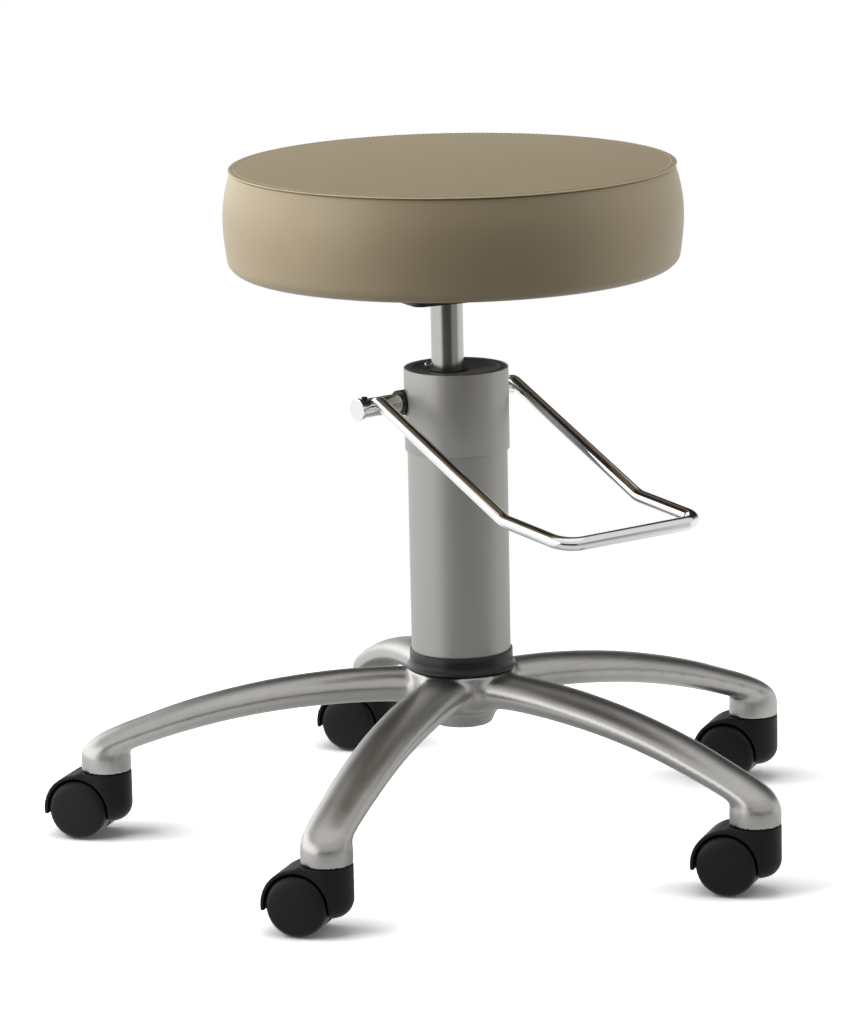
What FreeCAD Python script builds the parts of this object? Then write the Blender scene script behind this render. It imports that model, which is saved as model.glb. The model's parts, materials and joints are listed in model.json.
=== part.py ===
import FreeCAD, Part
import Sketcher
import math
import os

# Hydraulic stool for an operating room: a round padded seat that swivels on a ram, a foot bar that pumps
# the ram up, and a five-star cast base on hooded twin-wheel casters. Millimetres, +Z up, origin on the floor
# under the column. The foot bar points along -Y.

Vector = FreeCAD.Vector
doc = FreeCAD.newDocument("surgical_stool")
sheet = doc.addObject("Spreadsheet::Sheet", "Sizes")
pieces = []
cell_row = [0]


class Term:
    # A size that carries both its number and its spreadsheet formula.
    def __init__(self, value, text):
        self.value = value
        self.text = text

    def joined(self, other, sign, value):
        return Term(value, "(%s %s %s)" % (self.text, sign, other.text))

    def __add__(self, other):
        other = term(other)
        return self.joined(other, "+", self.value + other.value)

    def __radd__(self, other):
        return term(other) + self

    def __sub__(self, other):
        other = term(other)
        return self.joined(other, "-", self.value - other.value)

    def __rsub__(self, other):
        return term(other) - self

    def __mul__(self, other):
        other = term(other)
        return self.joined(other, "*", self.value * other.value)

    def __rmul__(self, other):
        return term(other) * self

    def __truediv__(self, other):
        other = term(other)
        return self.joined(other, "/", self.value / other.value)

    def __neg__(self):
        return Term(-self.value, "(-1 * %s)" % self.text)


def term(number):
    return number if isinstance(number, Term) else Term(float(number), repr(float(number)))


def root(area):
    return Term(math.sqrt(area.value), "sqrt(%s)" % area.text)


def cosine(angle):
    return Term(math.cos(math.radians(angle.value)), "cos(%s)" % angle.text)


def sine(angle):
    return Term(math.sin(math.radians(angle.value)), "sin(%s)" % angle.text)


def arc_radius(half_chord, rise):
    return (half_chord * half_chord + rise * rise) / (2 * rise)


def size(alias, value):
    cell_row[0] += 1
    sheet.set("A%d" % cell_row[0], alias)
    sheet.set("B%d" % cell_row[0], str(value))
    sheet.setAlias("B%d" % cell_row[0], alias)
    return Term(float(value), "Sizes." + alias)


# Fits
running_gap = size("running_gap", 0.05)
seat_gap = size("seat_gap", 0.05)
soft_gap = size("soft_gap", 0.3)
swivel_gap = size("swivel_gap", 0.5)

# Casters
wheel_radius = size("wheel_radius", 25.5)
wheel_rim_reach = size("wheel_rim_reach", 22.9)
wheel_dome = size("wheel_dome", 1.3)
wheel_round = size("wheel_round", 3.5)
wheel_play = size("wheel_play", 1.2)
web_thickness = size("web_thickness", 5.2)
wheel_side_gap = size("wheel_side_gap", 0.6)
hood_shell = size("hood_shell", 3.3)
hood_crown = size("hood_crown", 1.7)
hood_foot_height = size("hood_foot_height", 14)
hood_tail_angle = size("hood_tail_angle", 10)
hood_brow_angle = size("hood_brow_angle", 75)
neck_round = size("neck_round", 15)
caster_trail = size("caster_trail", 19.8)
caster_angle = size("caster_angle", 122.9)
axle_radius = size("axle_radius", 4)
axle_reach = size("axle_reach", 17)
stem_radius = size("stem_radius", 5.5)
stem_length = size("stem_length", 23.5)
pivot_radius = size("pivot_radius", 4)
pivot_length = size("pivot_length", 11.5)
grip_wall = size("grip_wall", 1.0)

# Five-star base
leg_circle = size("leg_circle", 303)
leg_end_radius = size("leg_end_radius", 21.2)
first_leg_angle = size("first_leg_angle", 66.7)
leg_rise = size("leg_rise", 73.3)
leg_end_rise = size("leg_end_rise", 21)
socket_height = size("socket_height", 10.5)
socket_dome = size("socket_dome", 13)
elbow_narrowing = size("elbow_narrowing", 10)
leg_apex_reach = size("leg_apex_reach", 53)
leg_root_bite = size("leg_root_bite", 6)
leg_root_width = size("leg_root_width", 48)
leg_root_height = size("leg_root_height", 30)
leg_tip_width = size("leg_tip_width", 41.6)
leg_tip_height = size("leg_tip_height", 22)
elbow_round = size("elbow_round", 25)
hub_rise = size("hub_rise", 16)
hub_radius = size("hub_radius", 45.5)
hub_depth = size("hub_depth", 52)
hub_boss_wall = size("hub_boss_wall", 8)
hub_boss_height = size("hub_boss_height", 15)
hub_flare_height = size("hub_flare_height", 7)

# Column
column_radius = size("column_radius", 41.65)
column_wall = size("column_wall", 3)
sleeve_wall = size("sleeve_wall", 1.9)
sleeve_length = size("sleeve_length", 69.2)
column_height = size("column_height", 255.4)
cap_depth = size("cap_depth", 7.4)
cap_skirt = size("cap_skirt", 7)
cap_skirt_wall = size("cap_skirt_wall", 3)
cap_recess_radius = size("cap_recess_radius", 35.3)
cap_recess = size("cap_recess", 1.2)
ring_height = size("ring_height", 15.8)
ring_flare = size("ring_flare", 4.3)
ring_wall = size("ring_wall", 1.6)
ring_foot = size("ring_foot", 2)
ring_round = size("ring_round", 8)
vent_offset = size("vent_offset", 26.5)
vent_radius = size("vent_radius", 3)
vent_rim = size("vent_rim", 0.9)
vent_dome = size("vent_dome", 2.1)
vent_shank_radius = size("vent_shank_radius", 1.5)

# Hydraulic lift
ram_radius = size("ram_radius", 13.5)
ram_x = size("ram_x", -9.8)
ram_y = size("ram_y", -1.5)
ram_exposed = size("ram_exposed", 65.6)
stroke_down = size("stroke_down", 50)
stroke_rest = size("stroke_rest", 1.5)
spigot_radius = size("spigot_radius", 8)
piston_height = size("piston_height", 12)
cylinder_bore = size("cylinder_bore", 16)
cylinder_wall = size("cylinder_wall", 3)
base_thickness = size("base_thickness", 16)
base_boss_radius = size("base_boss_radius", 30)
base_boss_depth = size("base_boss_depth", 20)
stud_radius = size("stud_radius", 10)
nut_height = size("nut_height", 10)
nut_width = size("nut_width", 30)
washer_height = size("washer_height", 3)
washer_margin = size("washer_margin", 3)
nut_well_gap = size("nut_well_gap", 2)
nut_well = size("nut_well", 15)
head_thickness = size("head_thickness", 14)
guide_wall = size("guide_wall", 3)
wiper_wall = size("wiper_wall", 3.5)
wiper_height = size("wiper_height", 5)
wiper_proud = size("wiper_proud", 0.8)
wiper_lip = size("wiper_lip", 1.4)

# Pump
pump_room = size("pump_room", 31.75)
pump_x = size("pump_x", 20)
pump_y = size("pump_y", -2)
plunger_radius = size("plunger_radius", 6)
plunger_dome = size("plunger_dome", 12)
barrel_wall = size("barrel_wall", 3)
barrel_length = size("barrel_length", 53)
barrel_proud = size("barrel_proud", 1)
spring_seat = size("spring_seat", 2)
spring_wire = size("spring_wire", 1.8)
spring_turns = size("spring_turns", 5)
spring_radius = size("spring_radius", 8.2)
lever_radius = size("lever_radius", 4)
lever_overhang = size("lever_overhang", 6)
lever_gap = size("lever_gap", 0.3)
lever_tip_round = size("lever_tip_round", 2.8)
plunger_head = size("plunger_head", 5.4)
plunger_length = size("plunger_length", 57)

# Foot bar
shaft_radius = size("shaft_radius", 8.25)
shaft_overhang = size("shaft_overhang", 12.9)
shaft_end = size("shaft_end", 6)
shaft_behind = size("shaft_behind", 23)
shaft_drop = size("shaft_drop", 28.65)
bar_radius = size("bar_radius", 5.6)
bar_half_span = size("bar_half_span", 70.7)
bar_neck_forward = size("bar_neck_forward", 10.1)
bar_neck_rise = size("bar_neck_rise", 5.75)
bar_knee_forward = size("bar_knee_forward", 171.9)
bar_knee_drop = size("bar_knee_drop", 68.75)
bar_front_forward = size("bar_front_forward", 250.4)
bar_front_drop = size("bar_front_drop", 76.8)
bar_neck_bend = size("bar_neck_bend", 8)
bar_knee_bend = size("bar_knee_bend", 30)
bar_front_bend = size("bar_front_bend", 17)
bar_spigot_radius = size("bar_spigot_radius", 4)
bush_wall = size("bush_wall", 2.3)
bush_inner_reach = size("bush_inner_reach", 26)
bush_outer_reach = size("bush_outer_reach", 43.5)
end_cap_radius = size("end_cap_radius", 9.4)
end_cap_height = size("end_cap_height", 3)
lock_screw_radius = size("lock_screw_radius", 2.5)
lock_screw_inset = size("lock_screw_inset", 5)
lock_screw_proud = size("lock_screw_proud", 1.5)

# Seat
plate_side = size("plate_side", 138)
plate_thickness = size("plate_thickness", 3)
plate_corner = size("plate_corner", 8)
plate_turn = size("plate_turn", -11.5)
race_radius = size("race_radius", 50)
race_half_width = size("race_half_width", 8)
race_height = size("race_height", 4.2)
ball_radius = size("ball_radius", 2.5)
ball_count = 30
retainer_wall = size("retainer_wall", 2)
retainer_lip = size("retainer_lip", 1.2)
retainer_reach = size("retainer_reach", 3.6)
race_parting = size("race_parting", 1.3)
ram_nut_width = size("ram_nut_width", 24)
ram_nut_height = size("ram_nut_height", 8)
board_margin = size("board_margin", 25.5)
board_thickness = size("board_thickness", 12)
bolt_spacing = size("bolt_spacing", 52)
bolt_radius = size("bolt_radius", 4)
bolt_head_width = size("bolt_head_width", 13)
bolt_head_height = size("bolt_head_height", 5.3)
tee_radius = size("tee_radius", 9.5)
tee_flange = size("tee_flange", 1.3)
tee_wall = size("tee_wall", 1.2)
seat_radius = size("seat_radius", 190.5)
seat_thickness = size("seat_thickness", 85.6)
seam_inset = size("seam_inset", 5.8)
foot_inset = size("foot_inset", 4.5)
foot_height = size("foot_height", 10)
foot_round = size("foot_round", 14)
lip_round = size("lip_round", 1)
crown_height = size("crown_height", 5.4)
doc.recompute()

# Heights and places that follow from the sizes
hood_radius = wheel_radius + wheel_play + hood_shell
wheel_pocket = wheel_radius + wheel_play
hood_top = wheel_radius + hood_radius + hood_crown
leg_end_z = hood_top + swivel_gap
leg_apex_z = leg_end_z + leg_rise
hub_top = leg_apex_z + hub_rise
hub_bottom = hub_top - hub_depth
column_top = hub_top + column_height
column_bore = column_radius - column_wall
sleeve_bore = column_radius + seat_gap
sleeve_radius = sleeve_bore + sleeve_wall
tube_top = column_top - cap_depth
shaft_z = column_top - shaft_drop
shaft_bore = shaft_radius + running_gap
shaft_reach = bar_half_span + shaft_overhang
shaft_length = shaft_reach + bar_half_span + shaft_end
end_cap_spigot = shaft_overhang - bar_spigot_radius - soft_gap
bush_radius = shaft_bore + bush_wall
insert_radius = column_bore - seat_gap
floor_z = hub_top + base_thickness
ram_bottom = floor_z + stroke_down + stroke_rest
head_top = shaft_z - pump_room
head_bottom = head_top - head_thickness
cylinder_radius = cylinder_bore + cylinder_wall
guide_bore = ram_radius + running_gap
guide_radius = guide_bore + guide_wall
wiper_radius = guide_bore + wiper_wall
barrel_top = head_top + barrel_proud
barrel_bore = plunger_radius + running_gap
barrel_radius = barrel_bore + barrel_wall
plunger_top = shaft_z - lever_radius - lever_gap
spring_top = plunger_top - plunger_head
plate_z = column_top + ram_exposed
race_z = plate_z + plate_thickness
ball_z = race_z + race_height + race_parting
upper_race_z = ball_z + ball_z - race_z - race_height
seat_plate_z = upper_race_z + race_height
seat_bottom = seat_plate_z + plate_thickness
board_top = seat_bottom + board_thickness
board_radius = seat_radius - board_margin
socket_radius = stem_radius + seat_gap + grip_wall + seat_gap
nut_well_radius = nut_width / root(term(3)) + nut_well_gap
hub_boss_radius = nut_well_radius + hub_boss_wall
hub_bore = base_boss_radius + seat_gap
leg_angles = [first_leg_angle + 72 * index for index in range(5)]
zero = term(0)
# How many ovals shape the arch of a leg, and how many its elbow
arch_ovals = 9
elbow_ovals = 5


def bind(thing, path, length):
    thing.setExpression(path, length.text)


def put(thing, x=None, y=None, z=None, turn=None):
    for path, length in (("Base.x", x), ("Base.y", y), ("Base.z", z), ("Rotation.Angle", turn)):
        if length is not None:
            bind(thing, "Placement." + path, length)
    return thing


def keep(thing, label):
    thing.Label = label
    pieces.append(thing)
    return thing


def cylinder(name, radius, height, x=None, y=None, z=None, along="z"):
    rod = doc.addObject("Part::Cylinder", name)
    bind(rod, "Radius", radius)
    bind(rod, "Height", height)
    turns = {"z": (Vector(0, 0, 1), 0), "x": (Vector(0, 1, 0), 90), "y": (Vector(1, 0, 0), -90)}
    rod.Placement = FreeCAD.Placement(Vector(), FreeCAD.Rotation(*turns[along]))
    return put(rod, x, y, z)


def cut(name, base, tool):
    result = doc.addObject("Part::Cut", name)
    result.Base = base
    result.Tool = tool
    return result


def fuse(name, shapes):
    result = doc.addObject("Part::MultiFuse", name)
    result.Shapes = shapes
    return result


def group(label, members):
    result = doc.addObject("Part::Compound", label)
    result.Links = members
    return keep(result, label)


def tube(name, outer, inner, height, x=None, y=None, z=None):
    wall = cylinder(name + "_wall", outer, height, x, y, z)
    bore = cylinder(name + "_bore", inner, height, x, y, z)
    return cut(name, wall, bore)


def hex_prism(name, width, height, x, y, z):
    prism = doc.addObject("Part::Prism", name)
    prism.Polygon = 6
    bind(prism, "Circumradius", width / root(term(3)))
    bind(prism, "Height", height)
    return put(prism, x, y, z)


def hex_nut(name, width, bore, height, x, y, z):
    hole = cylinder(name + "_bore", bore, height, x, y, z)
    return cut(name, hex_prism(name + "_body", width, height, x, y, z), hole)


def new_body(label, x=None, y=None, z=None, turn=None):
    body = doc.addObject("PartDesign::Body", label)
    return put(keep(body, label), x, y, z, turn)


def sketch_on(body, name, role, lift=None):
    sketch = body.newObject("Sketcher::SketchObject", name)
    plane = [feature for feature in body.Origin.OriginFeatures if feature.Role == role][0]
    sketch.AttachmentSupport = [(plane, "")]
    sketch.MapMode = "FlatFace"
    if lift is not None:
        bind(sketch, "AttachmentOffset.Base.z", lift)
    return sketch


def fix_point(sketch, geometry, position, x, y):
    # Ties a point of the sketch to its origin by two bound distances.
    for kind, axis, length in (("DistanceX", -2, x), ("DistanceY", -1, y)):
        if abs(length.value) < 1e-9:
            sketch.addConstraint(Sketcher.Constraint("PointOnObject", geometry, position, axis))
            continue
        ends = (-1, 1, geometry, position) if length.value > 0 else (geometry, position, -1, 1)
        index = sketch.addConstraint(Sketcher.Constraint(kind, *ends, abs(length.value)))
        bind(sketch, "Constraints[%d]" % index, length if length.value > 0 else -length)


def draw_outline(sketch, corners, bends=None):
    # A closed outline. A bend gives the radius of the arc that starts at a corner, and whether it curves left.
    bends = bends or {}
    points = [Vector(x.value, y.value, 0) for x, y in corners]
    ends = []
    for index, start in enumerate(points):
        stop = points[(index + 1) % len(points)]
        if index not in bends:
            ends.append((sketch.addGeometry(Part.LineSegment(start, stop)), 1, 2))
            continue
        radius, left = bends[index]
        chord = stop - start
        height = math.sqrt(max(radius.value ** 2 - (chord.Length / 2) ** 2, 0))
        side = Vector(-chord.y, chord.x, 0).normalize() * (height if left else -height)
        middle = (start + stop) * 0.5 + side
        first, last = (start, stop) if left else (stop, start)
        angles = [math.atan2((point - middle).y, (point - middle).x) for point in (first, last)]
        arc = Part.ArcOfCircle(Part.Circle(middle, Vector(0, 0, 1), radius.value), *angles)
        number = sketch.addGeometry(arc)
        ends.append((number, 1, 2) if left else (number, 2, 1))
    for index, (number, begin, finish) in enumerate(ends):
        after, after_begin, after_finish = ends[(index + 1) % len(ends)]
        sketch.addConstraint(Sketcher.Constraint("Coincident", number, finish, after, after_begin))
    for (number, begin, finish), (x, y) in zip(ends, corners):
        fix_point(sketch, number, begin, x, y)
    for index, (radius, left) in bends.items():
        place = sketch.addConstraint(Sketcher.Constraint("Radius", ends[index][0], radius.value))
        bind(sketch, "Constraints[%d]" % place, radius)


def draw_circle(sketch, radius, x=zero, y=zero):
    number = sketch.addGeometry(Part.Circle(Vector(x.value, y.value, 0), Vector(0, 0, 1), radius.value))
    index = sketch.addConstraint(Sketcher.Constraint("Radius", number, radius.value))
    bind(sketch, "Constraints[%d]" % index, radius)
    fix_point(sketch, number, 3, x, y)


def revolve(body, sketch, name):
    feature = body.newObject("PartDesign::Revolution", name)
    feature.Profile = sketch
    feature.ReferenceAxis = (sketch, ["V_Axis"])
    feature.Angle = 360
    return feature


def turned(label, corners, bends=None, x=None, y=None, z=None):
    # A piece turned about its own upright axis, from half of its section.
    body = new_body(label, x, y, z)
    sketch = sketch_on(body, label + "_section", "XZ_Plane")
    draw_outline(sketch, corners, bends)
    revolve(body, sketch, label + "_turned")
    return body


def pad(body, sketch, name, length, symmetric=False):
    feature = body.newObject("PartDesign::Pad", name)
    feature.Profile = sketch
    feature.SideType = "Symmetric" if symmetric else "One side"
    bind(feature, "Length", length)
    return feature


def pocket(body, sketch, name, length=None, symmetric=False, reverse=False):
    doc.recompute()
    volume = body.Shape.Volume
    feature = body.newObject("PartDesign::Pocket", name)
    feature.Profile = sketch
    feature.SideType = "Symmetric" if symmetric else "One side"
    feature.Reversed = reverse
    if length is None:
        feature.Type = "ThroughAll"
    else:
        bind(feature, "Length", length)
    doc.recompute()
    if body.Shape.Volume > volume - 1e-3:
        raise RuntimeError("nothing was cut by " + name)
    return feature


def rounded_square(sketch, side, corner):
    half = side / 2
    flat = half - corner
    corners = [(half, -flat), (half, flat), (flat, half), (-flat, half),
               (-half, flat), (-half, -flat), (-flat, -half), (flat, -half)]
    draw_outline(sketch, corners, {index: (corner, True) for index in (1, 3, 5, 7)})


def drilled(body, name, radius, places, length, lift):
    sketch = sketch_on(body, name + "_circles", "XY_Plane", lift)
    for x, y in places:
        draw_circle(sketch, radius, x, y)
    return pocket(body, sketch, name, length)


def leg_solid(angle):
    # One arched leg: ovals along an arc that falls from the hub, then round the elbow into the socket.
    reach = leg_circle.value - leg_apex_reach.value
    fall = leg_rise.value - leg_end_rise.value
    radius = (reach ** 2 + fall ** 2) / (2 * fall)
    slope = math.asin(reach / radius)
    root_turn = math.asin((hub_bore.value + leg_root_bite.value - leg_apex_reach.value) / radius)
    sections = []
    for number in range(arch_ovals):
        along = number / (arch_ovals - 1)
        turn = root_turn + (slope - root_turn) * along
        high = leg_root_height.value + (leg_tip_height.value - leg_root_height.value) * along
        wide = leg_root_width.value + (leg_tip_width.value - leg_root_width.value) * along
        middle = Vector(leg_apex_reach.value + radius * math.sin(turn), 0,
                        leg_apex_z.value - radius * (1 - math.cos(turn)))
        sections.append((middle, turn, wide, high))
    tip, turn, wide, high = sections[-1]
    swing = elbow_round.value - high / 2
    pivot = tip - Vector(math.sin(turn), 0, math.cos(turn)) * swing
    for number in range(elbow_ovals):
        share = (number + 1) / elbow_ovals
        bend = turn + (math.pi / 2 - turn) * share
        middle = pivot + Vector(math.sin(bend), 0, math.cos(bend)) * swing
        sections.append((middle, bend, wide - elbow_narrowing.value * share ** 2, high))
    wires = []
    for middle, turn, wide, high in sections:
        oval = Part.Ellipse(Vector(), wide / 2, high / 2).toShape()
        frame = FreeCAD.Matrix(0, math.sin(turn), math.cos(turn), middle.x,
                               1, 0, 0, middle.y,
                               0, math.cos(turn), -math.sin(turn), middle.z,
                               0, 0, 0, 1)
        oval.transformShape(frame, True)
        wires.append(Part.Wire([oval]))
    leg = Part.makeLoft(wires, True, False)
    leg.rotate(Vector(), Vector(0, 0, 1), angle.value)
    return leg


def leg_point(angle):
    return leg_circle * cosine(angle), leg_circle * sine(angle)


def make_base():
    hub = doc.addObject("PartDesign::Body", "hub")
    section = sketch_on(hub, "hub_section", "XZ_Plane")
    boss_top = hub_bottom + hub_boss_height
    draw_outline(section, [(stud_radius + seat_gap, hub_bottom + nut_well),
                           (nut_well_radius, hub_bottom + nut_well),
                           (nut_well_radius, hub_bottom),
                           (hub_boss_radius, hub_bottom),
                           (hub_boss_radius, boss_top),
                           (hub_radius, boss_top + hub_flare_height),
                           (hub_radius, hub_top),
                           (hub_bore, hub_top),
                           (hub_bore, hub_top - base_boss_depth - seat_gap),
                           (stud_radius + seat_gap, hub_top - base_boss_depth - seat_gap)])
    revolve(hub, section, "hub_turned")
    doc.recompute()
    legs = []
    for angle in leg_angles:
        x, y = leg_point(angle)
        low = Vector(x.value, y.value, leg_end_z.value)
        socket = Part.makeCylinder(leg_end_radius.value, socket_height.value, low)
        dome = Part.makeSphere(leg_end_radius.value, low + Vector(0, 0, socket_height.value))
        lid = Part.makeCylinder(leg_end_radius.value * 2, socket_dome.value,
                                low + Vector(0, 0, socket_height.value))
        hole = Part.makeCylinder(socket_radius.value, stem_length.value + swivel_gap.value, low)
        legs.append(leg_solid(angle).fuse([socket, dome.common(lid)]).cut(hole))
    base = doc.addObject("Part::Feature", "base_casting")
    base.Shape = hub.Shape.fuse(legs).removeSplitter()
    return keep(base, "base_casting")


def make_casters():
    stems = []
    grips = []
    for number, angle in enumerate(leg_angles, 1):
        x, y = leg_point(angle)
        shank = cylinder("stem_shank_%d" % number, stem_radius, stem_length, x, y, leg_end_z)
        pivot = cylinder("stem_pivot_%d" % number, pivot_radius, pivot_length + swivel_gap,
                         x, y, leg_end_z - pivot_length - swivel_gap)
        stems.append(fuse("stem_%d" % number, [shank, pivot]))
        grip_bore = stem_radius + seat_gap
        grips.append(tube("grip_%d" % number, grip_bore + grip_wall, grip_bore, stem_length - seat_gap,
                          x, y, leg_end_z))
        make_hood(number, x, y)
        hub_x = x + caster_trail * cosine(caster_angle)
        hub_y = y + caster_trail * sine(caster_angle)
        axle = new_body("caster_axle_%d" % number, hub_x, hub_y, wheel_radius, caster_angle)
        section = sketch_on(axle, "axle_circle_%d" % number, "XZ_Plane")
        draw_circle(section, axle_radius)
        pad(axle, section, "axle_rod_%d" % number, axle_reach * 2, True)
        make_wheel("caster_wheel_left_%d" % number, hub_x, hub_y, caster_angle)
        make_wheel("caster_wheel_right_%d" % number, hub_x, hub_y, caster_angle + 180)
    group("caster_stems", stems)
    group("caster_grip_rings", grips)


def make_hood(number, x, y):
    # Neck round the stem, a hood over the wheels, and the web between them that holds the axle.
    hood = new_body("caster_hood_%d" % number, x, y, None, caster_angle)
    neck = sketch_on(hood, "neck_section_%d" % number, "XZ_Plane")
    draw_outline(neck, [(zero, hood_foot_height), (leg_end_radius - neck_round, hood_foot_height),
                        (leg_end_radius, hood_foot_height + neck_round), (leg_end_radius, hood_top),
                        (zero, hood_top)], {1: (neck_round, True)})
    revolve(hood, neck, "neck_%d" % number)
    side = sketch_on(hood, "hood_section_%d" % number, "XZ_Plane")
    brow_x = caster_trail + hood_radius * cosine(hood_brow_angle)
    brow_z = wheel_radius + hood_radius * sine(hood_brow_angle)
    tail = (cosine(hood_tail_angle), sine(hood_tail_angle))
    draw_outline(side, [(zero, hood_foot_height), (caster_trail + axle_radius, hood_foot_height),
                        (caster_trail + wheel_pocket * tail[0], wheel_radius - wheel_pocket * tail[1]),
                        (caster_trail + hood_radius * tail[0], wheel_radius - hood_radius * tail[1]),
                        (brow_x, brow_z), (caster_trail - hood_crown, hood_top), (zero, hood_top)],
                 {3: (hood_radius, True)})
    pad(hood, side, "hood_block_%d" % number, leg_end_radius * 2, True)
    for side_name, sign in (("left", 1), ("right", -1)):
        wheel_room = sketch_on(hood, "%s_pocket_circle_%d" % (side_name, number), "XZ_Plane",
                               web_thickness * sign / 2)
        draw_circle(wheel_room, wheel_pocket, caster_trail, wheel_radius)
        pocket(hood, wheel_room, "%s_pocket_%d" % (side_name, number), None, False, sign > 0)
    drilled(hood, "pivot_hole_%d" % number, pivot_radius + running_gap, [(zero, zero)],
            pivot_length + swivel_gap, hood_top)
    axle_hole = sketch_on(hood, "axle_hole_circle_%d" % number, "XZ_Plane")
    draw_circle(axle_hole, axle_radius + seat_gap / 2, caster_trail, wheel_radius)
    pocket(hood, axle_hole, "axle_hole_%d" % number, web_thickness * 2, True)


def make_wheel(label, x, y, turn):
    wheel = new_body(label, x, y, wheel_radius, turn)
    section = sketch_on(wheel, label + "_section", "XY_Plane")
    bore = axle_radius + running_gap
    inner = web_thickness / 2 + wheel_side_gap
    rim = wheel_radius - wheel_round
    blind = axle_reach + wheel_side_gap
    dome = arc_radius(rim, wheel_dome)
    draw_outline(section, [(bore, inner), (wheel_radius - wheel_side_gap, inner),
                           (wheel_radius, inner + wheel_side_gap),
                           (wheel_radius, wheel_rim_reach - wheel_round), (rim, wheel_rim_reach),
                           (zero, wheel_rim_reach + wheel_dome), (zero, blind),
                           (bore, blind)], {3: (wheel_round, True), 4: (dome, True)})
    revolve(wheel, section, label + "_turned")


def make_column():
    shaft_hole = cylinder("shaft_hole", bush_radius + seat_gap, sleeve_radius * 4, -sleeve_radius * 2,
                          shaft_behind, shaft_z, "x")
    wall = tube("column_tube_plain", column_radius, column_bore, tube_top - hub_top, None, None, hub_top)
    keep(cut("column_tube", wall, shaft_hole), "column_tube")
    shell = tube("column_sleeve_plain", sleeve_radius, sleeve_bore, sleeve_length, None, None,
                 column_top - sleeve_length)
    keep(cut("column_sleeve", shell, shaft_hole), "column_sleeve")
    ring_bore = column_radius + seat_gap
    ring_edge = ring_bore + ring_wall
    ring_top = hub_top + ring_height
    turned("base_ring", [(ring_bore, hub_top), (ring_bore + ring_flare, hub_top),
                         (ring_bore + ring_flare, hub_top + ring_foot),
                         (ring_edge, hub_top + ring_height / 2), (ring_edge, ring_top - ring_wall / 2),
                         (ring_edge - ring_wall / 2, ring_top), (ring_bore, ring_top)],
           {2: (ring_round, False)})
    cap_radius = sleeve_bore - seat_gap
    recess_top = column_top - cap_recess
    cap = turned("column_cap", [(zero, tube_top), (insert_radius - cap_skirt_wall, tube_top),
                                (insert_radius - cap_skirt_wall, tube_top - cap_skirt),
                                (insert_radius, tube_top - cap_skirt), (insert_radius, tube_top),
                                (cap_radius, tube_top), (cap_radius, column_top),
                                (cap_recess_radius + cap_recess, column_top),
                                (cap_recess_radius, recess_top), (zero, recess_top)])
    drilled(cap, "ram_opening", wiper_radius + seat_gap, [(ram_x, ram_y)], cap_depth, column_top)
    vent_y = ram_y + vent_offset
    drilled(cap, "vent_hole", vent_shank_radius, [(ram_x, vent_y)], cap_depth, column_top)
    shank = vent_shank_radius - seat_gap
    rim_top = recess_top + vent_rim
    turned("cap_vent_screw", [(zero, tube_top), (shank, tube_top), (shank, recess_top), (vent_radius, recess_top),
                              (vent_radius, rim_top), (zero, rim_top + vent_dome)],
           {4: (arc_radius(vent_radius, vent_dome), True)}, ram_x, vent_y)
    lip = recess_top + wiper_proud
    turned("ram_wiper", [(guide_bore, lip - wiper_height), (wiper_radius, lip - wiper_height),
                         (wiper_radius, lip - wiper_proud), (guide_bore + wiper_lip, lip),
                         (guide_bore, lip)], None, ram_x, ram_y)


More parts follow.
